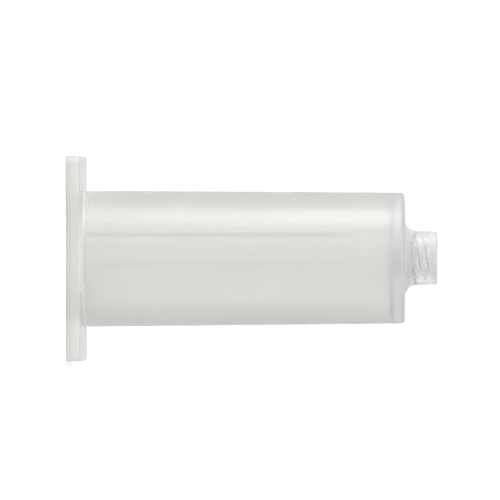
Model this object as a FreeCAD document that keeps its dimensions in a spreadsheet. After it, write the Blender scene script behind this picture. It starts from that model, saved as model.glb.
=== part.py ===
"""Blood tube holder: a thin moulded barrel with a finger flange at its open end and a threaded hub on its nose.

The holder is one moulding. It is modelled standing on the flange's open face, in millimetres:
the origin is the centre of that face, +Z runs along the barrel to the nose, and the flange's
long side lies along X.
"""

import FreeCAD, Part
import math
import os

import Sketcher

# Driving sizes in millimetres, each with the alias that its cell takes in the sheet.
SIZES = {
    # the finger flange: a plate with two long straight sides
    "flange_length": 30.7,
    "flange_width": 24.0,
    "flange_thickness": 2.15,
    "flange_corner": 1.2,
    "flange_edge": 0.2,
    # the barrel's outside, which narrows to the nose so that it leaves its mould
    "barrel_base_diameter": 20.5,
    "barrel_nose_diameter": 19.6,
    "barrel_length": 50.3,
    "barrel_root": 0.5,
    "nose_edge": 0.5,
    # the barrel's inside, where the tube slides
    "wall": 1.0,
    "end_wall": 1.5,
    "mouth_edge": 0.6,
    "floor_corner": 0.5,
    # the ring that shows how far the tube may go before its stopper meets the needle
    "guide_line_from_floor": 6.5,
    "guide_line_step": 0.1,
    "guide_line_slope": 0.8,
    # the hub that takes the needle, with the same kind of taper
    "hub_base_diameter": 8.15,
    "hub_tip_diameter": 7.9,
    "hub_length": 4.9,
    "hub_root": 2.0,
    "hub_edge": 0.2,
    # the hub's inside thread, right-hand, with starts that climb side by side
    "thread_minor_diameter": 3.7,
    "thread_major_diameter": 4.4,
    "thread_pitch": 1.2,
    "thread_starts": 2,
    "thread_root_width": 0.3,
    "thread_flank_angle": 20,
    "thread_runout": 0.4,
    "thread_entry_diameter": 4.6,
    "thread_entry_depth": 0.4,
}

# Radii and heights that follow from the driving sizes, as expressions on the sheet.
BASE_RADIUS = "Sizes.barrel_base_diameter / 2"
NOSE_RADIUS = "Sizes.barrel_nose_diameter / 2"
TAPER = f"({BASE_RADIUS} - {NOSE_RADIUS}) / Sizes.barrel_length"
FLOOR_HEIGHT = "Sizes.barrel_length - Sizes.end_wall"
HUB_BASE_RADIUS = "Sizes.hub_base_diameter / 2"
HUB_TIP_RADIUS = "Sizes.hub_tip_diameter / 2"
TIP_HEIGHT = "Sizes.barrel_length + Sizes.hub_length"
MINOR_RADIUS = "Sizes.thread_minor_diameter / 2"
MAJOR_RADIUS = "Sizes.thread_major_diameter / 2"
ENTRY_RADIUS = "Sizes.thread_entry_diameter / 2"
ENTRY_HEIGHT = f"{TIP_HEIGHT} - Sizes.thread_entry_depth"
STEP_HEIGHT = f"{FLOOR_HEIGHT} - Sizes.guide_line_from_floor"
STEP_END = f"{STEP_HEIGHT} + Sizes.guide_line_slope"

# How far the thread's outline reaches into the bore, so that no skin is left on its crests.
THREAD_OVERLAP = 0.1

FULL_TURN = 360
H_AXIS_INDEX = -1
V_AXIS_INDEX = -2
ORIGIN = (H_AXIS_INDEX, 1)
TOUCHING = 1e-4


def make_sheet(doc):
    """The sheet that holds every driving size as a plain number with an alias."""
    sheet = doc.addObject("Spreadsheet::Sheet", "Sizes")
    for row, (alias, value) in enumerate(SIZES.items(), start=1):
        sheet.set(f"A{row}", alias.replace("_", " "))
        sheet.set(f"B{row}", str(value))
        sheet.setAlias(f"B{row}", alias)
    doc.recompute()


def bore_radius_at(height):
    """The barrel's inside radius at a height, as an expression: the outside less the wall."""
    return f"{BASE_RADIUS} - {TAPER} * ({height}) - Sizes.wall"


def origin_feature(body, role):
    """One of the body's own origin planes or axes."""
    return next(f for f in body.Origin.OriginFeatures if f.Role == role)


def make_sketch(body, name, plane_role):
    """A sketch on one of the body's own origin planes."""
    sketch = body.newObject("Sketcher::SketchObject", name)
    sketch.AttachmentSupport = [(origin_feature(body, plane_role), "")]
    sketch.MapMode = "FlatFace"
    return sketch


def bind(sketch, constraint, expression):
    """Add a driving constraint and give its value to an expression on the sheet."""
    index = sketch.addConstraint(constraint)
    sketch.setExpression(f"Constraints[{index}]", expression)


def draw_profile(sketch, corners):
    """Draw a closed outline of straight sides through corners given as pairs of expressions.

    A corner with no first expression lies on the sketch's vertical axis, and one with no
    second expression on its horizontal axis.
    """
    places = [
        FreeCAD.Vector(sketch.evalExpression(x) if x else 0, sketch.evalExpression(y) if y else 0, 0)
        for x, y in corners
    ]
    for side, start in enumerate(places):
        end = places[(side + 1) % len(places)]
        sketch.addGeometry(Part.LineSegment(start, end), False)
    for side, (x, y) in enumerate(corners):
        before = (side - 1) % len(corners)
        sketch.addConstraint(Sketcher.Constraint("Coincident", before, 2, side, 1))
        if x:
            bind(sketch, Sketcher.Constraint("DistanceX", *ORIGIN, side, 1, places[side].x), x)
        else:
            sketch.addConstraint(Sketcher.Constraint("PointOnObject", side, 1, V_AXIS_INDEX))
        if y:
            bind(sketch, Sketcher.Constraint("DistanceY", *ORIGIN, side, 1, places[side].y), y)
        else:
            sketch.addConstraint(Sketcher.Constraint("PointOnObject", side, 1, H_AXIS_INDEX))


def draw_centred_rectangle(sketch, length, width):
    """Draw a rectangle centred on the sketch's origin, with its sides given as expressions."""
    half_x = sketch.evalExpression(length) / 2
    half_y = sketch.evalExpression(width) / 2
    places = [
        FreeCAD.Vector(-half_x, -half_y, 0),
        FreeCAD.Vector(half_x, -half_y, 0),
        FreeCAD.Vector(half_x, half_y, 0),
        FreeCAD.Vector(-half_x, half_y, 0),
    ]
    for side, start in enumerate(places):
        sketch.addGeometry(Part.LineSegment(start, places[(side + 1) % 4]), False)
    for side in range(4):
        sketch.addConstraint(Sketcher.Constraint("Coincident", side, 2, (side + 1) % 4, 1))
        direction = "Horizontal" if side % 2 == 0 else "Vertical"
        sketch.addConstraint(Sketcher.Constraint(direction, side))
    sketch.addConstraint(Sketcher.Constraint("Symmetric", 0, 1, 2, 1, *ORIGIN))
    bind(sketch, Sketcher.Constraint("DistanceX", 0, 1, 0, 2, 2 * half_x), length)
    bind(sketch, Sketcher.Constraint("DistanceY", 1, 1, 1, 2, 2 * half_y), width)


def settle(feature):
    """Recompute a new feature and stop at once if it has failed."""
    feature.Document.recompute()
    if "Invalid" in feature.State or feature.Shape.isNull():
        raise RuntimeError(f"{feature.Name} can't be made")


def revolve(body, kind, name, sketch):
    """Turn a half outline once round the body's Z axis, as a Revolution or a Groove."""
    feature = body.newObject(f"PartDesign::{kind}", name)
    feature.Profile = sketch
    feature.ReferenceAxis = (sketch, ["V_Axis"])
    feature.Angle = FULL_TURN
    sketch.Visibility = False
    settle(feature)
    return feature


def cut_once(body, name, sketch):
    """A Groove that has to take material away, because one that misses shows no error."""
    before = body.Shape.Volume
    groove = revolve(body, "Groove", name, sketch)
    if not groove.Shape.Volume < before:
        raise RuntimeError(f"{name} takes nothing away")


def rings(shape, radius, height):
    """Names of the round edges about the Z axis that have this radius and height."""
    return [
        f"Edge{number}"
        for number, edge in enumerate(shape.Edges, start=1)
        if isinstance(edge.Curve, Part.Circle)
        and abs(edge.Curve.Radius - radius) < TOUCHING
        and abs(edge.Curve.Center.z - height) < TOUCHING
        and math.hypot(edge.Curve.Center.x, edge.Curve.Center.y) < TOUCHING
    ]


def upright_edges(shape):
    """Names of the straight edges that stand along Z, which are the flange's four corners."""
    return [
        f"Edge{number}"
        for number, edge in enumerate(shape.Edges, start=1)
        if edge.BoundBox.XLength < TOUCHING and edge.BoundBox.YLength < TOUCHING
    ]


def rim_edges(shape, height, barrel_radius):
    """Names of the edges that go round the flange's outline at one height."""
    found = []
    for number, edge in enumerate(shape.Edges, start=1):
        box = edge.BoundBox
        level = abs(box.ZMin - height) < TOUCHING and abs(box.ZMax - height) < TOUCHING
        about_axis = isinstance(edge.Curve, Part.Circle) and math.hypot(*edge.Curve.Center[:2]) < TOUCHING
        if level and not about_axis and edge.CenterOfMass.Length > barrel_radius:
            found.append(f"Edge{number}")
    return found


def round_edges(body, name, edges, radius):
    """Fillet named edges of the body's last feature, with the radius given as an expression."""
    if not edges:
        raise RuntimeError(f"{name} finds no edge")
    base = body.Tip
    fillet = body.newObject("PartDesign::Fillet", name)
    fillet.Base = (base, edges)
    fillet.setExpression("Radius", radius)
    base.Visibility = False
    settle(fillet)


def make_flange(body):
    """The finger flange: a plate with rounded corners, flat on the open side."""
    sketch = make_sketch(body, "FlangeOutline", "XY_Plane")
    draw_centred_rectangle(sketch, "Sizes.flange_length", "Sizes.flange_width")
    pad = body.newObject("PartDesign::Pad", "Flange")
    pad.Profile = sketch
    pad.setExpression("Length", "Sizes.flange_thickness")
    sketch.Visibility = False
    settle(pad)
    round_edges(body, "FlangeCorners", upright_edges(body.Shape), "Sizes.flange_corner")


def make_outside(body):
    """The outside of the barrel, its nose and its hub, turned from one half outline."""
    sketch = make_sketch(body, "OutsideOutline", "XZ_Plane")
    draw_profile(
        sketch,
        [
            ("", ""),
            (BASE_RADIUS, ""),
            (NOSE_RADIUS, "Sizes.barrel_length"),
            (HUB_BASE_RADIUS, "Sizes.barrel_length"),
            (HUB_TIP_RADIUS, TIP_HEIGHT),
            ("", TIP_HEIGHT),
        ],
    )
    revolve(body, "Revolution", "Outside", sketch)


def make_cavity(body):
    """The space for the tube: a tapered bore that gets a little narrower past the guide line."""
    sketch = make_sketch(body, "CavityOutline", "XZ_Plane")
    step = " - Sizes.guide_line_step"
    draw_profile(
        sketch,
        [
            ("", ""),
            (bore_radius_at("0"), ""),
            (bore_radius_at(STEP_HEIGHT), STEP_HEIGHT),
            (bore_radius_at(STEP_END) + step, STEP_END),
            (bore_radius_at(FLOOR_HEIGHT) + step, FLOOR_HEIGHT),
            ("", FLOOR_HEIGHT),
        ],
    )
    cut_once(body, "Cavity", sketch)


def make_hub_bore(body):
    """The hole through the hub at the thread's inside diameter, which opens at 45 degrees to a wider entry."""
    sketch = make_sketch(body, "HubBoreOutline", "XZ_Plane")
    draw_profile(
        sketch,
        [
            ("", FLOOR_HEIGHT),
            (MINOR_RADIUS, FLOOR_HEIGHT),
            (MINOR_RADIUS, f"{ENTRY_HEIGHT} - ({ENTRY_RADIUS} - {MINOR_RADIUS})"),
            (ENTRY_RADIUS, ENTRY_HEIGHT),
            (ENTRY_RADIUS, TIP_HEIGHT),
            ("", TIP_HEIGHT),
        ],
    )
    cut_once(body, "HubBore", sketch)


def make_thread(body):
    """The thread's grooves: one tapered outline wound up the bore to the tip, then turned for each start."""
    sketch = make_sketch(body, "ThreadOutline", "XZ_Plane")
    inner = f"{MINOR_RADIUS} - {THREAD_OVERLAP}"
    middle = "Sizes.barrel_length + Sizes.thread_runout"
    half_root = "Sizes.thread_root_width / 2"
    half_mouth = f"{half_root} + ({MAJOR_RADIUS} - ({inner})) * tan(Sizes.thread_flank_angle)"
    draw_profile(
        sketch,
        [
            (inner, f"{middle} - ({half_mouth})"),
            (MAJOR_RADIUS, f"{middle} - {half_root}"),
            (MAJOR_RADIUS, f"{middle} + {half_root}"),
            (inner, f"{middle} + {half_mouth}"),
        ],
    )
    before = body.Shape.Volume
    groove = body.newObject("PartDesign::SubtractiveHelix", "ThreadGroove")
    groove.Profile = sketch
    groove.ReferenceAxis = (sketch, ["V_Axis"])
    groove.Mode = "pitch-height-angle"
    groove.HasBeenEdited = True
    groove.setExpression("Pitch", "Sizes.thread_pitch * Sizes.thread_starts")
    groove.setExpression("Height", "Sizes.hub_length - Sizes.thread_runout")
    sketch.Visibility = False
    settle(groove)
    starts = body.newObject("PartDesign::PolarPattern", "ThreadStarts")
    starts.Originals = [groove]
    starts.Axis = (origin_feature(body, "Z_Axis"), [""])
    starts.Angle = FULL_TURN
    starts.setExpression("Occurrences", "Sizes.thread_starts")
    body.Tip = starts
    settle(starts)
    if not starts.Shape.Volume < before:
        raise RuntimeError("the thread takes nothing away")


def round_the_edges(body):
    """The radii that the moulding has: at the nose, the hub, the barrel's root, the mouth and the rim."""
    value = body.evalExpression
    flange_top = value("Sizes.flange_thickness")
    barrel_top = value("Sizes.barrel_length")
    tip = value(TIP_HEIGHT)
    floor = value(FLOOR_HEIGHT)
    root_radius = value(f"{BASE_RADIUS} - {TAPER} * Sizes.flange_thickness")
    floor_radius = value(f"{bore_radius_at(FLOOR_HEIGHT)} - Sizes.guide_line_step")
    mouth_radius = value(bore_radius_at("0"))
    base_radius = value(BASE_RADIUS)

    round_edges(body, "NoseEdge", rings(body.Shape, value(NOSE_RADIUS), barrel_top), "Sizes.nose_edge")
    round_edges(body, "HubRoot", rings(body.Shape, value(HUB_BASE_RADIUS), barrel_top), "Sizes.hub_root")
    round_edges(body, "HubEdge", rings(body.Shape, value(HUB_TIP_RADIUS), tip), "Sizes.hub_edge")
    round_edges(body, "BarrelRoot", rings(body.Shape, root_radius, flange_top), "Sizes.barrel_root")
    round_edges(body, "FloorCorner", rings(body.Shape, floor_radius, floor), "Sizes.floor_corner")
    round_edges(body, "MouthEdge", rings(body.Shape, mouth_radius, 0), "Sizes.mouth_edge")
    rim = rim_edges(body.Shape, 0, base_radius) + rim_edges(body.Shape, flange_top, base_radius)
    round_edges(body, "FlangeEdge", rim, "Sizes.flange_edge")


def make_tube_holder(doc):
    """The whole moulding, as one body."""
    body = doc.addObject("PartDesign::Body", "TubeHolder")
    body.Label = "tube_holder"
    body.Placement = FreeCAD.Placement()
    make_flange(body)
    make_outside(body)
    make_cavity(body)
    make_hub_bore(body)
    round_the_edges(body)
    make_thread(body)
    return body


def check(doc, bodies):
    """Stop before anything is written if an object failed or a shape isn't one sound solid."""
    doc.recompute()
    for item in doc.Objects:
        if "Invalid" in item.State or "Error" in item.State:
            raise RuntimeError(f"{item.Name} has failed: {item.State}")
    for body in bodies:
        shape = body.Shape
        if shape.isNull() or not shape.isValid() or len(shape.Solids) != 1:
            raise RuntimeError(f"{body.Label} isn't one sound solid")


def main():
    """Build the document and write each body to a file that has its label as its name."""
    doc = FreeCAD.newDocument("BloodTubeHolder")
    make_sheet(doc)
    bodies = [make_tube_holder(doc)]
    check(doc, bodies)
    os.makedirs("parts", exist_ok=True)
    for body in bodies:
        body.Shape.exportStep(f"parts/{body.Label}.step")
        box = body.Shape.BoundBox
        print(
            f"{body.Label}: {body.Shape.Volume:.1f} mm3,"
            f" {box.XLength:.2f} x {box.YLength:.2f} x {box.ZLength:.2f} mm"
        )


main()
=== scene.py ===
"""Looks of a blood tube holder: one thin moulding of clarified polypropylene, standing on its open end.

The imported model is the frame. Each class below is one part of the moulding and adds its stretch of wall
to a shared mesh, and the holder joins the stretches into one closed skin, so that light bends through it
as through the real thing. Sizes are in millimetres, and the finished mesh is brought to metres.
"""

import sys

import logging
import math
from dataclasses import dataclass, field
from enum import Enum
from typing import Any, Callable

import bmesh
import bpy
from mathutils import Matrix, Vector


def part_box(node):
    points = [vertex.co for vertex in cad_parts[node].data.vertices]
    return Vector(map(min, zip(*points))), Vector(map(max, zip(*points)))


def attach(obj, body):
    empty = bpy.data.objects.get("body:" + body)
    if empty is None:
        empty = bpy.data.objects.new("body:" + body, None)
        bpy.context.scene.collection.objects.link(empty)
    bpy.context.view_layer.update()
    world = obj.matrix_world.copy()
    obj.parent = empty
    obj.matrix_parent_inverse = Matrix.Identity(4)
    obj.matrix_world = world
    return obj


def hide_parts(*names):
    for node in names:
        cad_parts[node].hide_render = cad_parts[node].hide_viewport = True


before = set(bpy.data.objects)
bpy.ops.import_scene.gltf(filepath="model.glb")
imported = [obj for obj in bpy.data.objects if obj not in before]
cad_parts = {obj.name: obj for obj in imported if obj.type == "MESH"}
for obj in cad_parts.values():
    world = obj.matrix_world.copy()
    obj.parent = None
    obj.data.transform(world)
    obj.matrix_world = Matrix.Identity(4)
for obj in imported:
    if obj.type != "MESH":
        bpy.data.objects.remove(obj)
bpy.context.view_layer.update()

NODE = "tube_holder"
BODY = "root"

# Metres in a millimetre, and millimetres in a metre.
MM = 0.001
PER_METRE = 1000.0

# Steps round the axis, and how often a part of a turn is doubled to make it whole.
ROUND_STEPS = 240
DOUBLINGS = 4
# Steps round a rounding, and round one of a few tenths of a millimetre.
ARC_STEPS = 6
FINE_ARC_STEPS = 3
# The longest side of a face along a straight stretch of wall.
LONGEST_FACE = 2.0
# Points nearer than this are one point.
TOUCHING = 1e-4
# How far a ring is raised while it is joined to another.
LIFT = 1.0
# How far outside one ring the search for the ring around it starts.
RING_GAP = 0.1

log = logging.getLogger("tube_holder")


@dataclass(frozen=True)
class Corner:
    """A corner of a turned outline.

    Attributes:
        reach: distance from the axis.
        height: height above the flange's open face.
        rounding: radius of the corner's rounding, or nothing for a plain corner.
        steps: how many sides the rounding has.
    """

    reach: float
    height: float
    rounding: float = 0.0
    steps: int = ARC_STEPS


def lean_between(before: Vector, here: Vector, after: Vector) -> float:
    """The angle inside a corner, between the sides that meet there.

    Args:
        before: the corner before.
        here: the corner itself.
        after: the corner after.

    Returns:
        The angle in radians.
    """
    return (before - here).angle(after - here)


def draw_outline(mesh: bmesh.types.BMesh, corners: list[Corner]) -> list[bmesh.types.BMEdge]:
    """Draws an open outline in the plane that holds the axis, and rounds its corners.

    Args:
        mesh: the mesh that gets the outline.
        corners: the outline's corners in order.

    Returns:
        The outline's edges.
    """
    places = [Vector((c.reach, 0.0, c.height)) for c in corners]
    points = [mesh.verts.new(place) for place in places]
    for start, end in zip(points, points[1:]):
        mesh.edges.new((start, end))
    kept = set(mesh.verts) - set(points)
    for index in range(1, len(corners) - 1):
        corner = corners[index]
        if corner.rounding:
            inside = lean_between(places[index - 1], places[index], places[index + 1])
            bmesh.ops.bevel(
                mesh,
                geom=[points[index]],
                offset=corner.rounding / math.tan(inside / 2),
                offset_type="OFFSET",
                segments=corner.steps,
                profile=0.5,
                affect="VERTICES",
                material=-1,
            )
    drawn = [edge for edge in mesh.edges if not edge.link_faces and not set(edge.verts) & kept]
    for edge in drawn[:]:
        cuts = math.ceil(edge.calc_length() / LONGEST_FACE) - 1
        if cuts > 0:
            bmesh.ops.subdivide_edges(mesh, edges=[edge], cuts=cuts)
    return [edge for edge in mesh.edges if not edge.link_faces and not set(edge.verts) & kept]


def wind(mesh: bmesh.types.BMesh, edges: list[bmesh.types.BMEdge], lead: float = 0.0) -> None:
    """Winds an outline once round the axis, straight round or up a helix.

    The outline is spun through a part of a turn, and that part is doubled until the turn is whole,
    which is much quicker than one long spin.

    Args:
        mesh: the mesh that holds the outline and nothing else.
        edges: the outline's edges.
        lead: how far one turn climbs.
    """
    parts = 2**DOUBLINGS
    points = list({point for edge in edges for point in edge.verts})
    bmesh.ops.spin(
        mesh,
        geom=points + edges,
        cent=(0.0, 0.0, 0.0),
        axis=(0.0, 0.0, 1.0),
        dvec=(0.0, 0.0, lead / ROUND_STEPS),
        angle=math.tau / parts,
        steps=ROUND_STEPS // parts,
    )
    for _ in range(DOUBLINGS):
        copied = bmesh.ops.duplicate(mesh, geom=mesh.verts[:] + mesh.edges[:] + mesh.faces[:])["geom"]
        moved = [item for item in copied if isinstance(item, bmesh.types.BMVert)]
        climb = Matrix.Translation((0.0, 0.0, lead / parts))
        bmesh.ops.transform(mesh, matrix=climb @ Matrix.Rotation(math.tau / parts, 4, "Z"), verts=moved)
        parts //= 2
    bmesh.ops.remove_doubles(mesh, verts=mesh.verts, dist=TOUCHING)


def turned_wall(corners: list[Corner]) -> bmesh.types.BMesh:
    """Draws an outline and turns it once round the axis, in a mesh of its own.

    Args:
        corners: the outline's corners in order.

    Returns:
        The mesh with the turned wall.
    """
    mesh = bmesh.new()
    wind(mesh, draw_outline(mesh, corners))
    return mesh


def take_in(mesh: bmesh.types.BMesh, wall: bmesh.types.BMesh) -> None:
    """Moves a finished wall into a mesh and frees the wall's own.

    Args:
        mesh: the mesh that gets the wall.
        wall: the mesh with the wall.
    """
    carrier = bpy.data.meshes.new("wall")
    wall.to_mesh(carrier)
    wall.free()
    mesh.from_mesh(carrier)
    bpy.data.meshes.remove(carrier)


def open_ring(
    mesh: bmesh.types.BMesh, height: float, inner: float, outer: float
) -> list[bmesh.types.BMEdge]:
    """Finds the open edges that lie at a height, between two distances from the axis.

    Args:
        mesh: the mesh to search.
        height: the height of the ring.
        inner: the least distance from the axis.
        outer: the greatest distance from the axis.

    Returns:
        The ring's edges.
    """
    return [
        edge
        for edge in mesh.edges
        if edge.is_boundary
        and all(
            abs(point.co.z - height) < TOUCHING
            and inner - TOUCHING < point.co.xy.length < outer + TOUCHING
            for point in edge.verts
        )
    ]


def bridge(
    mesh: bmesh.types.BMesh, near: list[bmesh.types.BMEdge], far: list[bmesh.types.BMEdge]
) -> None:
    """Closes the gap between two rings of open edges with a band of faces.

    Rings at the same level don't tell the operator which way round they go, so one of them is raised
    while they are joined.

    Args:
        mesh: the mesh that holds both rings.
        near: the edges of the ring that stays.
        far: the edges of the ring that is raised for the moment.
    """
    raised = list({point for edge in far for point in edge.verts})
    bmesh.ops.translate(mesh, verts=raised, vec=(0.0, 0.0, LIFT))
    bmesh.ops.bridge_loops(mesh, edges=near + far)
    bmesh.ops.translate(mesh, verts=raised, vec=(0.0, 0.0, -LIFT))


def smooth_step(value: float, start: float, end: float) -> float:
    """Goes from nothing at start to one at end, level at both.

    Args:
        value: where to read it.
        start: where it leaves nothing.
        end: where it reaches one.

    Returns:
        The share, from nothing to one.
    """
    share = min(1.0, max(0.0, (value - start) / (end - start)))
    return share * share * (3.0 - 2.0 * share)


@dataclass
class FingerFlange:
    """The plate at the open end that two fingers pull against."""

    length: float
    width: float
    thickness: float = 2.15
    corner: float = 1.2
    edge: float = 0.2
    corner_steps: int = 12
    edge_steps: int = 5

    def side_cuts(self, side: float, other: float) -> int:
        """How many points divide a straight side, so that the outline has as many as the barrel's rings.

        Args:
            side: length of the straight side.
            other: length of the side next to it.

        Returns:
            The number of points between the side's ends.
        """
        left = ROUND_STEPS // 2 - 2 * self.corner_steps
        long_share = round(left * max(side, other) / (side + other))
        return (long_share if side > other else left - long_share) - 1

    def build(self, mesh: bmesh.types.BMesh) -> None:
        """Adds the plate's rim to the mesh, open above and below, where the barrel's rings meet it.

        Args:
            mesh: the mesh that gets the rim, empty so far.
        """
        made = bmesh.ops.create_grid(mesh, x_segments=1, y_segments=1, size=0.5)
        bmesh.ops.scale(mesh, verts=made["verts"], vec=(self.length, self.width, 1.0))
        bmesh.ops.delete(mesh, geom=mesh.faces[:], context="FACES_ONLY")
        bmesh.ops.bevel(
            mesh,
            geom=made["verts"],
            offset=self.corner,
            offset_type="OFFSET",
            segments=self.corner_steps,
            profile=0.5,
            affect="VERTICES",
            material=-1,
        )
        straight_x = self.length - 2 * self.corner
        straight_y = self.width - 2 * self.corner
        for straight, other in ((straight_x, straight_y), (straight_y, straight_x)):
            sides = [edge for edge in mesh.edges if abs(edge.calc_length() - straight) < TOUCHING]
            bmesh.ops.subdivide_edges(mesh, edges=sides, cuts=self.side_cuts(straight, other))
        base = bmesh.ops.edgeloop_fill(mesh, edges=mesh.edges[:])["faces"]
        risen = bmesh.ops.extrude_face_region(mesh, geom=base, use_keep_orig=True)
        top_points = [item for item in risen["geom"] if isinstance(item, bmesh.types.BMVert)]
        bmesh.ops.translate(mesh, verts=top_points, vec=(0.0, 0.0, self.thickness))
        rims = [edge for edge in mesh.edges if abs(edge.verts[0].co.z - edge.verts[1].co.z) < TOUCHING]
        bmesh.ops.bevel(
            mesh,
            geom=rims,
            offset=self.edge,
            offset_type="OFFSET",
            segments=self.edge_steps,
            profile=0.5,
            affect="EDGES",
            material=-1,
        )
        # The two flat sides are the only faces with more than four corners.
        ends = [face for face in mesh.faces if len(face.verts) > 4]
        bmesh.ops.delete(mesh, geom=ends, context="FACES_ONLY")


@dataclass
class TubeBarrel:
    """The long thin wall that guides the tube, with its floor inside and its nose outside."""

    length: float = 50.3
    base_diameter: float = 20.5
    nose_diameter: float = 19.6
    wall: float = 1.0
    end_wall: float = 1.5
    root: float = 0.5
    nose_edge: float = 0.5
    floor_corner: float = 0.5
    mouth_edge: float = 0.6
    guide_line_from_floor: float = 6.5
    guide_line_step: float = 0.1
    guide_line_slope: float = 0.8
    guide_line_rounding: float = 0.35
    needle_hole_edge: float = 0.12
    # The flat rings round the foot and the mouth end this many roundings out from the wall.
    foot_spread: float = 2.0
    mouth_spread: float = 1.5

    @property
    def floor_height(self) -> float:
        """Height of the floor inside, where the hub's bore starts."""
        return self.length - self.end_wall

    @property
    def guide_line_height(self) -> float:
        """Height at which the bore starts to narrow."""
        return self.floor_height - self.guide_line_from_floor

    def outside_reach(self, height: float) -> float:
        """The outside's distance from the axis at a height."""
        drop = (self.base_diameter - self.nose_diameter) / 2 / self.length
        return self.base_diameter / 2 - drop * height

    def bore_reach(self, height: float) -> float:
        """The bore's distance from the axis at a height, before the guide line narrows it."""
        return self.outside_reach(height) - self.wall

    def foot_reach(self, flange_top: float) -> float:
        """Where the barrel's foot meets the flange's nose side, past its rounding."""
        return self.outside_reach(flange_top) + self.foot_spread * self.root

    def mouth_reach(self) -> float:
        """Where the mouth meets the flange's open face, past its rounding."""
        return self.bore_reach(0.0) + self.mouth_spread * self.mouth_edge

    def outside(self, flange_top: float) -> list[Corner]:
        """The outline from the flange up to the nose.

        Args:
            flange_top: height of the flange's nose side.

        Returns:
            The corners in order, from the flange to the nose's edge.
        """
        return [
            Corner(self.foot_reach(flange_top), flange_top),
            Corner(self.outside_reach(flange_top), flange_top, self.root),
            Corner(self.nose_diameter / 2, self.length, self.nose_edge),
        ]

    def inside(self, bore: float, bore_start: float) -> list[Corner]:
        """The outline from the hub's bore down the cavity to the open face.

        Args:
            bore: distance of the hub's bore from the axis.
            bore_start: height at which the hub's bore takes over.

        Returns:
            The corners in order, from the bore to the mouth.
        """
        floor, step_start = self.floor_height, self.guide_line_height
        step_end = step_start + self.guide_line_slope
        floor_reach = self.bore_reach(floor) - self.guide_line_step
        step_end_reach = self.bore_reach(step_end) - self.guide_line_step
        return [
            Corner(bore, bore_start),
            Corner(bore, floor, self.needle_hole_edge, FINE_ARC_STEPS),
            Corner(floor_reach, floor, self.floor_corner),
            Corner(step_end_reach, step_end, self.guide_line_rounding, FINE_ARC_STEPS),
            Corner(self.bore_reach(step_start), step_start, self.guide_line_rounding, FINE_ARC_STEPS),
            Corner(self.bore_reach(0.0), 0.0, self.mouth_edge),
            Corner(self.mouth_reach(), 0.0),
        ]


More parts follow.
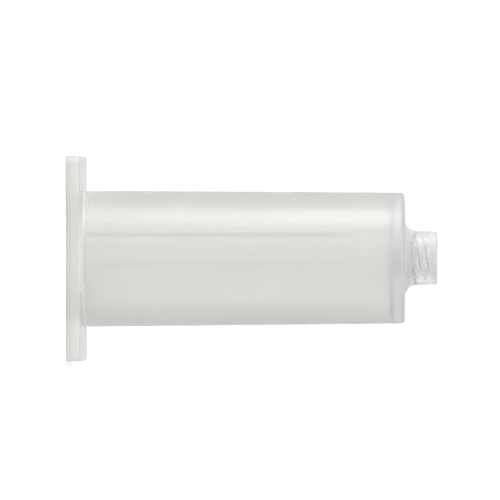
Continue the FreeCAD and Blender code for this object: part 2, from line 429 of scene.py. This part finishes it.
@dataclass
class NeedleHub:
    """The hub on the nose, with the inside thread that takes the needle."""

    tip_height: float
    base_diameter: float = 8.15
    tip_diameter: float = 7.9
    root: float = 2.0
    edge: float = 0.2
    edge_steps: int = 4
    minor_diameter: float = 3.7
    major_diameter: float = 4.4
    pitch: float = 1.2
    starts: int = 2
    root_width: float = 0.3
    flank_angle: float = 20.0
    thread_rounding: float = 0.09
    runout: float = 0.9
    entry_diameter: float = 4.6
    entry_depth: float = 0.4
    entry_edge: float = 0.1
    # The longest side of a face across the thread.
    thread_face: float = 0.1
    # Gap between the thread's cut ends and the turned walls, which a band of faces closes.
    seam: float = 0.06

    @property
    def entry_height(self) -> float:
        """Height at which the opened bore becomes the entry."""
        return self.tip_height - self.entry_depth

    @property
    def lead(self) -> float:
        """How far the needle moves in with one turn."""
        return self.pitch * self.starts

    def outside(self, nose_height: float) -> list[Corner]:
        """The outline from the nose face up the hub, over its tip and down into the entry.

        Args:
            nose_height: height of the nose face.

        Returns:
            The corners in order.
        """
        reach = self.tip_diameter / 2
        entry = self.entry_diameter / 2
        return [
            Corner(self.base_diameter / 2, nose_height, self.root, 2 * ARC_STEPS),
            Corner(reach, self.tip_height, self.edge, self.edge_steps),
            Corner(entry, self.tip_height, self.entry_edge, FINE_ARC_STEPS),
            Corner(entry, self.entry_height + self.seam),
        ]

    def draw_ridges(self, mesh: bmesh.types.BMesh, low: float, high: float) -> list[bmesh.types.BMEdge]:
        """Draws the thread's outline along the bore, one groove after the other.

        Args:
            mesh: the mesh that gets the outline.
            low: where the first groove starts.
            high: what the last groove has to pass.

        Returns:
            The outline's edges.
        """
        minor, major = self.minor_diameter / 2, self.major_diameter / 2
        half_root = self.root_width / 2
        half_mouth = half_root + (major - minor) * math.tan(math.radians(self.flank_angle))
        half_pitch = self.pitch / 2
        grooves = math.ceil((high - low) / self.pitch)
        corners = []
        for groove in range(grooves):
            middle = low + self.pitch * (groove + 0.5)
            corners.append(Corner(minor, middle - half_pitch))
            turns = (minor, -half_mouth), (major, -half_root), (major, half_root), (minor, half_mouth)
            for reach, step in turns:
                corners.append(Corner(reach, middle + step, self.thread_rounding, FINE_ARC_STEPS))
        corners.append(Corner(minor, low + self.pitch * grooves))
        edges = draw_outline(mesh, corners)
        for edge in edges:
            cuts = math.ceil(edge.calc_length() / self.thread_face) - 1
            if cuts > 0:
                bmesh.ops.subdivide_edges(mesh, edges=[edge], cuts=cuts)
        return [edge for edge in mesh.edges if not edge.link_faces]

    def wind_thread(self, low: float) -> bmesh.types.BMesh:
        """Winds the thread's outline up the bore and trims it level at both ends.

        Args:
            low: height at which the plain bore below takes over.

        Returns:
            A mesh of its own with the threaded wall.
        """
        mesh = bmesh.new()
        edges = self.draw_ridges(mesh, low - self.lead - self.pitch, self.tip_height)
        wind(mesh, edges, self.lead)
        self.shape_ends(mesh, low)
        for height, clear_above in ((self.entry_height, True), (low, False)):
            bmesh.ops.bisect_plane(
                mesh,
                geom=mesh.verts[:] + mesh.edges[:] + mesh.faces[:],
                dist=TOUCHING,
                plane_co=(0.0, 0.0, height),
                plane_no=(0.0, 0.0, 1.0),
                clear_outer=clear_above,
                clear_inner=not clear_above,
            )
        return mesh

    def shape_ends(self, mesh: bmesh.types.BMesh, low: float) -> None:
        """Fades the grooves out at the bottom of the bore and opens the bore at 45 degrees at its top.

        Args:
            mesh: the wound thread.
            low: height at which the plain bore below takes over.
        """
        minor, entry = self.minor_diameter / 2, self.entry_diameter / 2
        for point in mesh.verts:
            reach = point.co.xy.length
            fade = smooth_step(point.co.z, low + self.seam, low + self.seam + self.runout)
            opened = entry - (self.entry_height - point.co.z)
            wanted = min(entry, max(minor + (reach - minor) * fade, opened))
            point.co.xy *= wanted / reach


def add_node(
    tree: bpy.types.NodeTree,
    kind: str,
    settings: dict[str, Any] | None = None,
    inputs: dict[str | int, Any] | None = None,
) -> bpy.types.Node:
    """Adds a node with its settings, and fills or links its inputs.

    Args:
        tree: the node tree.
        kind: the node's type.
        settings: values of the node's own properties.
        inputs: for each input by name or number, a value or the output that feeds it.

    Returns:
        The new node.
    """
    node = tree.nodes.new(kind)
    for name, value in (settings or {}).items():
        setattr(node, name, value)
    for name, value in (inputs or {}).items():
        if isinstance(value, bpy.types.NodeSocket):
            tree.links.new(value, node.inputs[name])
        else:
            node.inputs[name].default_value = value
    return node


def linear_colour(hex_code: str) -> tuple[float, float, float, float]:
    """Turns an sRGB hex colour into the linear colour that a shader takes.

    Args:
        hex_code: six digits, such as F2F1EC.

    Returns:
        Red, green, blue and full alpha, linear.
    """
    levels = [int(hex_code[start:start + 2], 16) / 255 for start in (0, 2, 4)]
    red, green, blue = (
        level / 12.92 if level <= 0.04045 else ((level + 0.055) / 1.055) ** 2.4
        for level in levels
    )
    return red, green, blue, 1.0


def grey(level: float) -> tuple[float, float, float, float]:
    """Puts one linear level on all channels, with full alpha."""
    return level, level, level, 1.0


@dataclass(frozen=True)
class ZoneFinish:
    """The finish of one stretch of the moulding.

    Attributes:
        top: height at which the stretch ends.
        colour: sRGB hex colour.
        roughness: how matt the mould left the surface.
        clearness: share of the light that goes through, where the rest is scattered as by milk.
        fade: height over which it passes into the next stretch.
    """

    top: float
    colour: str
    roughness: float
    clearness: float
    fade: float = 0.2


class Zone(Enum):
    """The stretches of the moulding in order of height, wherever the mould finished them differently, and two
    where the colour is painted light and shade.
    """

    # Polished, so the plate is clear, with a trace of haze.
    FLANGE = ZoneFinish(2.08, "FAFAF8", 0.32, 0.66, 0.1)
    # The nose side of the plate is smoother than its cut rim. Its colour is painted shade, darker to dim the
    # highlight on the fillet where the barrel meets the plate.
    SHOULDER = ZoneFinish(2.8, "EDEDEC", 0.20, 0.57, 0.4)
    # The foot of the barrel: painted light, a lighter and milkier finish that brightens the stretch that the
    # plate shades.
    FOOT = ZoneFinish(5.0, "FAF9F7", 0.28, 0.68, 4.0)
    # A fine matt mould, which makes the thin wall look milky.
    BARREL = ZoneFinish(48.9, "F8F7F5", 0.28, 0.85, 1.5)
    # The solid end wall, seen through its whole width, looks darker and a little cooler.
    NOSE = ZoneFinish(50.1, "E4E5E8", 0.32, 0.66, 0.3)
    # The foot of the hub, where the end wall is still near and scatters light into it.
    ROOT = ZoneFinish(51.3, "F9F9F9", 0.30, 0.75, 0.6)
    # Polished again, with the thread showing through.
    HUB = ZoneFinish(54.3, "F8F8F8", 0.265, 0.87)
    # The lip is hazier, where the two sides of the mould met.
    LIP = ZoneFinish(55.2, "F7F7F7", 0.32, 0.70)


@dataclass(frozen=True)
class Mark:
    """A faint straight stripe painted into the colour. Along the bore it is a painted reflection; round the
    flange's rim it is a darker stripe at a height.

    Attributes:
        place: where its middle is, in degrees round the axis or millimetres up.
        width: width of the mark.
        shade: share of the full depth by which it darkens the surface, or lightens it below nothing.
    """

    place: float
    width: float
    shade: float


@dataclass(frozen=True)
class ClarifiedPolypropylene:
    """Clarified polypropylene, injection moulded: see-through, and milky wherever its mould was matt."""

    name: str = "clarified_polypropylene_moulded"
    ior: float = 1.49
    # Painted reflections: dark and light lines in the colour along the bore, where the studio's reflections
    # fall, each at its turn from the side that faces the camera. They run from the mouth to the guide line,
    # where the bore gets narrower.
    painted_reflection_lines: tuple[Mark, ...] = (
        Mark(-124.0, 2.0, 0.4),
        Mark(-52.0, 1.8, 0.27),
        Mark(-16.0, 1.2, -0.17),
        Mark(-5.0, 2.0, 0.36),
        Mark(22.0, 1.1, 1.0),
        Mark(61.0, 1.6, 0.27),
        Mark(112.0, 1.6, 0.4),
        Mark(158.0, 1.2, -0.17),
    )
    lines_from: float = 3.0
    lines_to: float = 42.3
    lines_start_fade: float = 1.0
    lines_end_fade: float = 0.6
    # A radius within the wall, which tells the bore from the outside.
    mid_wall: float = 9.5
    # Darker stripes round the flange's rim, at these heights.
    rim_lines: tuple[Mark, ...] = (
        Mark(0.28, 0.20, 0.67),
        Mark(0.62, 0.20, 0.47),
        Mark(1.15, 0.50, 0.33),
        Mark(1.50, 0.30, 0.25),
        Mark(1.86, 0.24, 0.6),
    )
    mark_depth: float = 0.3
    # Haze drifts over millimetres, longer along the way the plastic flowed.
    haze_size: float = 3.5
    haze_stretch: float = 0.3
    haze_swing: float = 0.02
    noise_detail: float = 2.0
    # The matt mould's grain is a few hundredths of a millimetre, too fine to show here, so it is drawn at
    # a fifth of a millimetre. The waves are the ones that shrinkage leaves in a thin wall.
    grain_size: float = 0.2
    grain_height: float = 0.0008
    wave_size: float = 6.0
    wave_height: float = 0.006
    # The thread, which reaches 2.3 mm out, comes off a screw core that isn't polished.
    thread_reach: float = 2.4
    thread_fade: float = 0.5
    thread_roughness: float = 0.12

    def zone_ramp(
        self,
        tree: bpy.types.NodeTree,
        height: bpy.types.NodeSocket,
        read: Callable[[ZoneFinish], tuple[float, float, float, float]],
    ) -> bpy.types.NodeSocket:
        """Reads one value of the zones' finishes along the height.

        Args:
            tree: the material's node tree.
            height: the height above the open face, as a share of the whole.
            read: gives the value of a zone as a colour.

        Returns:
            The value at that height.
        """
        whole = Zone.LIP.value.top
        node = add_node(tree, "ShaderNodeValToRGB", inputs={0: height})
        stops = node.color_ramp.elements
        stops[0].color = read(Zone.FLANGE.value)
        stops[1].color = read(Zone.LIP.value)
        zones = [zone.value for zone in Zone]
        for below, above in zip(zones, zones[1:]):
            stops.new((below.top - below.fade / 2) / whole).color = read(below)
            stops.new((below.top + below.fade / 2) / whole).color = read(above)
        return node.outputs[0]

    def marks_ramp(
        self, tree: bpy.types.NodeTree, value: bpy.types.NodeSocket, marks: tuple[Mark, ...], span: float
    ) -> bpy.types.NodeSocket:
        """Shades a row of marks.

        Args:
            tree: the material's node tree.
            value: what the marks' places are measured on, as a share of the span.
            marks: the marks in order of place.
            span: the greatest place.

        Returns:
            The factor for the colour, one where there is no mark.
        """
        ramp = add_node(tree, "ShaderNodeValToRGB", inputs={0: value})
        ramp.color_ramp.interpolation = "EASE"
        stops = ramp.color_ramp.elements
        middle = 0.5
        stops[0].color = stops[1].color = grey(middle)
        for mark in marks:
            stops.new((mark.place - mark.width / 2) / span).color = grey(middle)
            stops.new(mark.place / span).color = grey(middle - mark.shade / 2)
            stops.new((mark.place + mark.width / 2) / span).color = grey(middle)
        darkest, lightest = 1.0 - self.mark_depth, 1.0 + self.mark_depth
        return add_node(
            tree,
            "ShaderNodeMapRange",
            inputs={"Value": ramp.outputs[0], "To Min": darkest, "To Max": lightest},
        ).outputs["Result"]

    def reflection_line_shade(self, tree: bpy.types.NodeTree, place: bpy.types.NodeSocket) -> bpy.types.NodeSocket:
        """Paints the dark and light reflection lines along the bore into the colour.

        Args:
            tree: the material's node tree.
            place: the point on the object, in millimetres.

        Returns:
            The factor for the colour.
        """
        turned = add_node(tree, "ShaderNodeVectorMath", {"operation": "SCALE"}, {0: place, "Scale": -1.0})
        axes = add_node(tree, "ShaderNodeSeparateXYZ", inputs={0: turned.outputs[0]})
        turn = add_node(
            tree,
            "ShaderNodeMath",
            {"operation": "ARCTAN2"},
            {0: axes.outputs["X"], 1: axes.outputs["Y"]},
        )
        share = add_node(
            tree,
            "ShaderNodeMapRange",
            inputs={"Value": turn.outputs[0], "From Min": -math.pi, "From Max": math.pi},
        )
        girth = math.tau * self.mid_wall
        # Painted reflections: dark and light lines round the bore's girth, where reflections fall.
        lines = tuple(
            Mark((line.place / 360 + 0.5) * girth, line.width, line.shade) for line in self.painted_reflection_lines
        )
        shade = self.marks_ramp(tree, share.outputs["Result"], lines, girth)
        mask = self.reflection_line_mask(tree, place)
        masked = add_node(tree, "ShaderNodeMix", {"data_type": "FLOAT"}, {0: mask, 2: 1.0, 3: shade})
        return masked.outputs[0]

    def reach(self, tree: bpy.types.NodeTree, place: bpy.types.NodeSocket) -> bpy.types.NodeSocket:
        """Measures how far the point is from the axis.

        Args:
            tree: the material's node tree.
            place: the point on the object, in millimetres.

        Returns:
            The distance in millimetres.
        """
        level = {0: place, 1: (1.0, 1.0, 0.0)}
        flat = add_node(tree, "ShaderNodeVectorMath", {"operation": "MULTIPLY"}, level)
        reach = add_node(tree, "ShaderNodeVectorMath", {"operation": "LENGTH"}, {0: flat.outputs[0]})
        return reach.outputs["Value"]

    def reflection_line_mask(self, tree: bpy.types.NodeTree, place: bpy.types.NodeSocket) -> bpy.types.NodeSocket:
        """Keeps the painted reflection lines on the bore, between the mouth and the guide line.

        Args:
            tree: the material's node tree.
            place: the point on the object, in millimetres.

        Returns:
            One on that stretch of the bore and nothing elsewhere.
        """
        axes = add_node(tree, "ShaderNodeSeparateXYZ", inputs={0: place})
        inward = {0: self.reach(tree, place), 1: self.mid_wall}
        mask = add_node(tree, "ShaderNodeMath", {"operation": "LESS_THAN"}, inward)
        for middle, fade in ((self.lines_from, self.lines_start_fade), (self.lines_to, -self.lines_end_fade)):
            edge = add_node(
                tree,
                "ShaderNodeMapRange",
                {"interpolation_type": "SMOOTHSTEP"},
                {"Value": axes.outputs["Z"], "From Min": middle - fade, "From Max": middle + fade},
            )
            both = {0: mask.outputs[0], 1: edge.outputs["Result"]}
            mask = add_node(tree, "ShaderNodeMath", {"operation": "MULTIPLY"}, both)
        return mask.outputs[0]

    def thread_haze(self, tree: bpy.types.NodeTree, place: bpy.types.NodeSocket) -> bpy.types.NodeSocket:
        """Makes the thread more matt than the outside of the hub, as its screw core leaves it.

        Args:
            tree: the material's node tree.
            place: the point on the object, in millimetres.

        Returns:
            What is added to the roughness: the full amount on the thread and nothing further out.
        """
        return add_node(
            tree,
            "ShaderNodeMapRange",
            inputs={
                "Value": self.reach(tree, place),
                "From Min": self.thread_reach,
                "From Max": self.thread_reach + self.thread_fade,
                "To Min": self.thread_roughness,
                "To Max": 0.0,
            },
        ).outputs["Result"]

    def noise(
        self, tree: bpy.types.NodeTree, place: bpy.types.NodeSocket, size: float, stretch: float
    ) -> bpy.types.NodeSocket:
        """Adds a noise whose blotches have a real size.

        Args:
            tree: the material's node tree.
            place: the point on the object, in millimetres.
            size: size of a blotch.
            stretch: share of its speed at which the noise changes along the height.

        Returns:
            The noise, from nothing to one.
        """
        factors = {0: place, 1: (1.0, 1.0, stretch)}
        stretched = add_node(tree, "ShaderNodeVectorMath", {"operation": "MULTIPLY"}, factors)
        noise = add_node(
            tree,
            "ShaderNodeTexNoise",
            inputs={"Vector": stretched.outputs[0], "Scale": 1.0 / size, "Detail": self.noise_detail},
        )
        return noise.outputs[0]

    def relief(self, tree: bpy.types.NodeTree, place: bpy.types.NodeSocket) -> bpy.types.NodeSocket:
        """Makes the matt grain and the slow waves that shrinkage leaves in a thin wall.

        Args:
            tree: the material's node tree.
            place: the point on the object, in millimetres.

        Returns:
            The bent normal.
        """
        normal = None
        for size, height in ((self.wave_size, self.wave_height), (self.grain_size, self.grain_height)):
            inputs = {"Height": self.noise(tree, place, size, 1.0), "Distance": height * MM}
            if normal is not None:
                inputs["Normal"] = normal
            normal = add_node(tree, "ShaderNodeBump", inputs=inputs).outputs[0]
        return normal

    def material(self) -> bpy.types.Material:
        """Makes the material, with its finish read from the zones along the height.

        Returns:
            The material.
        """
        material = bpy.data.materials.new(self.name)
        material.use_nodes = True
        tree = material.node_tree
        tree.nodes.clear()
        metres = add_node(tree, "ShaderNodeTexCoord").outputs["Object"]
        place = add_node(
            tree, "ShaderNodeVectorMath", {"operation": "SCALE"}, {0: metres, "Scale": PER_METRE}
        ).outputs[0]
        axes = add_node(tree, "ShaderNodeSeparateXYZ", inputs={0: place})
        whole = Zone.LIP.value.top
        height = add_node(
            tree, "ShaderNodeMapRange", inputs={"Value": axes.outputs["Z"], "From Max": whole}
        ).outputs["Result"]
        haze = add_node(
            tree,
            "ShaderNodeMapRange",
            inputs={
                "Value": self.noise(tree, place, self.haze_size, self.haze_stretch),
                "To Min": 1.0 - self.haze_swing,
                "To Max": 1.0 + self.haze_swing,
            },
        )
        # The colour carries the painted reflection lines along the bore and the stripes round the rim.
        lines = {0: self.reflection_line_shade(tree, place), 1: self.marks_ramp(tree, height, self.rim_lines, whole)}
        marks = add_node(tree, "ShaderNodeMath", {"operation": "MULTIPLY"}, lines)
        shades = {0: haze.outputs["Result"], 1: marks.outputs[0]}
        shade = add_node(tree, "ShaderNodeMath", {"operation": "MULTIPLY"}, shades)
        zone_colour = self.zone_ramp(tree, height, lambda zone: linear_colour(zone.colour))
        shaded = {0: zone_colour, "Scale": shade.outputs[0]}
        colour = add_node(tree, "ShaderNodeVectorMath", {"operation": "SCALE"}, shaded)
        zone_roughness = self.zone_ramp(tree, height, lambda zone: grey(zone.roughness))
        hazed = {0: zone_roughness, 1: self.thread_haze(tree, place)}
        roughness = add_node(tree, "ShaderNodeMath", {"operation": "ADD"}, hazed)
        shader = add_node(
            tree,
            "ShaderNodeBsdfPrincipled",
            inputs={
                "Base Color": colour.outputs[0],
                "IOR": self.ior,
                "Roughness": roughness.outputs[0],
                "Transmission Weight": self.zone_ramp(tree, height, lambda zone: grey(zone.clearness)),
                "Normal": self.relief(tree, place),
            },
        )
        add_node(tree, "ShaderNodeOutputMaterial", inputs={"Surface": shader.outputs["BSDF"]})
        return material


@dataclass
class TubeHolder:
    """The whole moulding: flange, barrel and hub joined into one closed skin."""

    finish: ClarifiedPolypropylene = field(default_factory=ClarifiedPolypropylene)

    def build(self) -> bpy.types.Object:
        """Makes the holder's mesh and dresses it.

        Returns:
            The finished object, in metres, at the origin.
        """
        low, high = (corner * PER_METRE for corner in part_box(NODE))
        flange = FingerFlange(length=high.x - low.x, width=high.y - low.y)
        barrel = TubeBarrel()
        hub = NeedleHub(tip_height=high.z)
        thread_low = barrel.length

        mesh = bmesh.new()
        flange.build(mesh)
        take_in(mesh, turned_wall(barrel.outside(flange.thickness) + hub.outside(barrel.length)))
        take_in(mesh, turned_wall(barrel.inside(hub.minor_diameter / 2, thread_low - hub.seam)))
        take_in(mesh, hub.wind_thread(thread_low))

        rim = flange.length
        foot, mouth = barrel.foot_reach(flange.thickness), barrel.mouth_reach()
        for height, reach in ((flange.thickness, foot), (0.0, mouth)):
            around = open_ring(mesh, height, reach + RING_GAP, rim)
            bridge(mesh, around, open_ring(mesh, height, 0.0, reach))
        entry = hub.entry_diameter / 2
        for height, step in ((thread_low, -hub.seam), (hub.entry_height, hub.seam)):
            cut_end = open_ring(mesh, height, 0.0, entry)
            bridge(mesh, cut_end, open_ring(mesh, height + step, 0.0, entry))
        bmesh.ops.recalc_face_normals(mesh, faces=mesh.faces)
        log.info("open edges left: %d", sum(edge.is_boundary for edge in mesh.edges))
        return self.finished(mesh)

    def finished(self, mesh: bmesh.types.BMesh) -> bpy.types.Object:
        """Brings the mesh to metres, makes the object and ties it to the frame.

        Args:
            mesh: the closed skin in millimetres.

        Returns:
            The object.
        """
        bmesh.ops.scale(mesh, verts=mesh.verts, vec=(MM, MM, MM))
        for face in mesh.faces:
            face.smooth = True
        data = bpy.data.meshes.new("moulded_holder")
        mesh.to_mesh(data)
        mesh.free()
        data.materials.append(self.finish.material())
        piece = bpy.data.objects.new("moulded_holder", data)
        bpy.context.scene.collection.objects.link(piece)
        modifier = piece.modifiers.new("even_shading", "WEIGHTED_NORMAL")
        modifier.keep_sharp = True
        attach(piece, BODY)
        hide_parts(NODE)
        return piece


@dataclass(frozen=True)
class PhotoCamera:
    """The camera, far off and a little to the nose side, turned so that the hub is on the right."""

    lens: float = 1000.0
    sensor: float = 36.0
    frame_width: float = 75.0
    aim_x: float = -1.25
    aim_z: float = 27.13
    lean: float = math.radians(1.78)
    roll: float = math.radians(0.092)
    # Nearest and farthest distance that it sees, in metres.
    nearest: float = 0.1
    farthest: float = 50.0

    def place(self) -> bpy.types.Object:
        """Makes the camera and hands it to the scene.

        Returns:
            The camera.
        """
        data = bpy.data.cameras.new("photo_camera")
        data.lens, data.sensor_width = self.lens, self.sensor
        distance = self.lens / self.sensor * self.frame_width
        back = Vector((0.0, -math.cos(self.lean), math.sin(self.lean)))
        level_right = Vector((0.0, math.sin(self.lean), math.cos(self.lean)))
        level_up = Vector((-1.0, 0.0, 0.0))
        right = level_right * math.cos(self.roll) - level_up * math.sin(self.roll)
        up = level_up * math.cos(self.roll) + level_right * math.sin(self.roll)
        place = (Vector((self.aim_x, 0.0, self.aim_z)) + back * distance) * MM
        camera = bpy.data.objects.new("photo_camera", data)
        camera.matrix_world = Matrix.Translation(place) @ Matrix((right, up, back)).transposed().to_4x4()
        data.clip_start, data.clip_end = self.nearest, self.farthest
        bpy.context.scene.collection.objects.link(camera)
        bpy.context.scene.camera = camera
        return camera


@dataclass(frozen=True)
class SoftBox:
    """A rectangular studio lamp behind a diffuser.

    Attributes:
        name: the lamp's name.
        place: where its middle is, in metres.
        wide: its width in metres.
        high: its height in metres.
        power: its power in watts.
        aim: the point that it faces, at about mid-height of the holder.
    """

    name: str
    place: tuple[float, float, float]
    wide: float
    high: float
    power: float
    aim: tuple[float, float, float] = (0.0, 0.0, 0.03)

    def hang(self) -> bpy.types.Object:
        """Makes the lamp, facing the point that it lights and out of the camera's sight.

        Returns:
            The lamp.
        """
        data = bpy.data.lights.new(self.name, "AREA")
        data.shape, data.size, data.size_y = "RECTANGLE", self.wide, self.high
        data.energy = self.power
        lamp = bpy.data.objects.new(self.name, data)
        away = Vector(self.place) - Vector(self.aim)
        facing = away.to_track_quat("Z", "Y").to_matrix().to_4x4()
        lamp.matrix_world = Matrix.Translation(self.place) @ facing
        lamp.visible_camera = False
        bpy.context.scene.collection.objects.link(lamp)
        return lamp


@dataclass(frozen=True)
class Studio:
    """The pale floor, the even surroundings and the lamps."""

    floor_size: float = 12.0
    floor_colour: str = "F5F5F3"
    # Light that the floor adds to itself for the camera, so that it shows white up to its far end and
    # still keeps the holder's shadow.
    glow_to_camera: float = 0.22
    surround_colour: str = "F7F7F7"
    background_colour: str = "FFFFFF"
    lamps: tuple[SoftBox, ...] = (
        SoftBox("side_softbox", (-0.55, -0.14, 0.12), 0.36, 0.50, 2.6),
        SoftBox("upper_softbox", (-0.48, -0.77, 0.10), 0.12, 0.40, 0.3),
        SoftBox("lower_softbox", (0.55, -0.20, 0.12), 0.50, 0.50, 0.5),
        SoftBox("front_softbox", (0.0, -1.2, 0.40), 1.2, 1.2, 1.2),
    )

    def floor(self) -> bpy.types.Object:
        """Makes the floor, which shows white to the camera but for the holder's shadow.

        Returns:
            The floor.
        """
        mesh = bmesh.new()
        bmesh.ops.create_grid(mesh, x_segments=1, y_segments=1, size=self.floor_size / 2)
        data = bpy.data.meshes.new("studio_floor")
        mesh.to_mesh(data)
        mesh.free()
        piece = bpy.data.objects.new("studio_floor", data)
        bpy.context.scene.collection.objects.link(piece)
        # Matt white card has no gloss, so the holder throws a shadow on it and no reflection.
        material = bpy.data.materials.new("matt_white_card")
        material.use_nodes = True
        tree = material.node_tree
        tree.nodes.clear()
        path = add_node(tree, "ShaderNodeLightPath")
        card = add_node(tree, "ShaderNodeBsdfDiffuse", inputs={"Color": linear_colour(self.floor_colour)})
        glow = add_node(tree, "ShaderNodeEmission", inputs={"Strength": self.glow_to_camera})
        lit = add_node(tree, "ShaderNodeAddShader", inputs={0: card.outputs[0], 1: glow.outputs[0]})
        even = add_node(tree, "ShaderNodeEmission", inputs={"Color": linear_colour(self.surround_colour)})
        seen = add_node(
            tree,
            "ShaderNodeMixShader",
            inputs={0: path.outputs["Is Camera Ray"], 1: card.outputs[0], 2: lit.outputs[0]},
        )
        through = add_node(
            tree,
            "ShaderNodeMixShader",
            inputs={0: path.outputs["Is Transmission Ray"], 1: seen.outputs[0], 2: even.outputs[0]},
        )
        add_node(tree, "ShaderNodeOutputMaterial", inputs={"Surface": through.outputs[0]})
        data.materials.append(material)
        return piece

    def surround(self) -> None:
        """Makes the world: white to the camera, and an even soft grey for everything else."""
        world = bpy.data.worlds.new("studio_surround")
        bpy.context.scene.world = world
        world.use_nodes = True
        tree = world.node_tree
        tree.nodes.clear()
        even, white = (
            add_node(tree, "ShaderNodeBackground", inputs={"Color": linear_colour(colour), "Strength": 1.0})
            for colour in (self.surround_colour, self.background_colour)
        )
        path = add_node(tree, "ShaderNodeLightPath")
        seen = add_node(
            tree,
            "ShaderNodeMixShader",
            inputs={0: path.outputs["Is Camera Ray"], 1: even.outputs[0], 2: white.outputs[0]},
        )
        add_node(tree, "ShaderNodeOutputWorld", inputs={"Surface": seen.outputs[0]})

    def set_up(self) -> None:
        """Makes the floor, the surroundings and the lamps."""
        self.floor()
        self.surround()
        for lamp in self.lamps:
            lamp.hang()


def main() -> None:
    """Builds the holder, the studio and the camera in order."""
    logging.basicConfig(level=logging.INFO, format="%(name)s: %(message)s", stream=sys.stdout)
    piece = TubeHolder().build()
    log.info("%s has %d faces", piece.name, len(piece.data.polygons))
    Studio().set_up()
    log.info("studio is set up")
    PhotoCamera().place()
    log.info("camera is placed")
    bpy.context.scene.view_settings.view_transform = "Standard"


if __name__ == "__main__":
    main()
